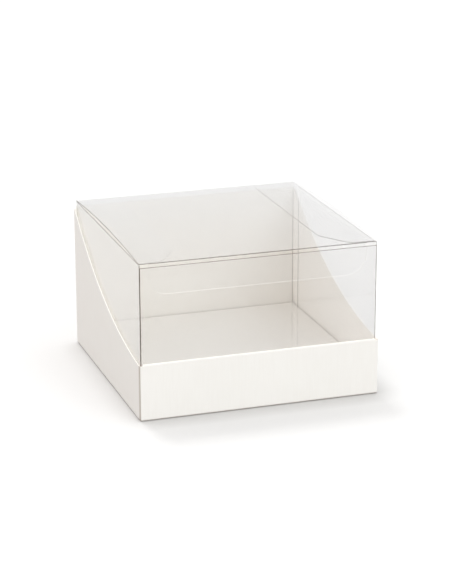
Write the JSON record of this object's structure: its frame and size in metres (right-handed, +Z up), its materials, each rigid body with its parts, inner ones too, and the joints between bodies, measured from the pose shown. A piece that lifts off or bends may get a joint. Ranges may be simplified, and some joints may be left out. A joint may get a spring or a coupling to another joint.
{
  "type": "favor box",
  "caption": "Clear tuck-top box standing in a white card tray with a raised floor, a tall back and sides that sweep down to a low front.",
  "frame": {"origin": "middle of the footprint, on the surface the box stands on", "axes": "+Z up, -Y out of the front with the low wall, +X to the right seen from the front"},
  "size_m": [0.12, 0.12, 0.0786],
  "materials": {
    "card": "matte, finely ribbed",
    "film": "clear gloss"
  },
  "bodies": {
    "tray": {"tray_floor": "card", "tray_left_wall": "card", "tray_right_wall": "card", "tray_back_wall": "card", "tray_front_wall": "card", "tray_front_lining": "card", "tray_front_tab_left": "card", "tray_front_tab_right": "card", "tray_back_tab_left": "card", "tray_back_tab_right": "card", "raised_floor": "card", "raised_floor_flange_left": "card", "raised_floor_flange_right": "card", "raised_floor_flange_back": "card"},
    "clear_box": {"clear_front_wall": "film", "clear_back_wall": "film", "clear_left_wall": "film", "clear_right_wall": "film", "clear_glue_flap": "film", "clear_base": "film", "base_tuck_flap": "film"},
    "lid": {"clear_lid": "film"},
    "tuck_flap": {"lid_tuck_flap": "film"},
    "dust_flap_left": {"lid_dust_flap_left": "film"},
    "dust_flap_right": {"lid_dust_flap_right": "film"}
  },
  "joints": [
    {"name": "lift_out", "type": "slide", "parent": "tray", "child": "clear_box", "axis": [0, 0, 1], "range_m": [0, 0.07]},
    {"name": "lid_crease", "type": "hinge", "parent": "clear_box", "child": "lid", "pos_m": [0, 0.05845, 0.07645], "axis": [-1, 0, 0], "range_deg": [0, 110]},
    {"name": "tuck_crease", "type": "hinge", "parent": "lid", "child": "tuck_flap", "pos_m": [0, -0.05735, 0.07645], "axis": [-1, 0, 0], "range_deg": [0, 33]},
    {"name": "dust_crease_left", "type": "hinge", "parent": "clear_box", "child": "dust_flap_left", "pos_m": [-0.0583, 0, 0.07585], "axis": [0, 1, 0], "range_deg": [0, 70], "stiffness_Nm_per_rad": 0.0015, "springref_deg": -28.65},
    {"name": "dust_crease_right", "type": "hinge", "parent": "clear_box", "child": "dust_flap_right", "pos_m": [0.0583, 0, 0.07585], "axis": [0, -1, 0], "range_deg": [0, 70], "stiffness_Nm_per_rad": 0.0015, "springref_deg": -28.65}
  ],
  "couplings": [
    {"joint": "tuck_crease", "follows": "lid_crease", "ratio": 0.3}
  ]
}
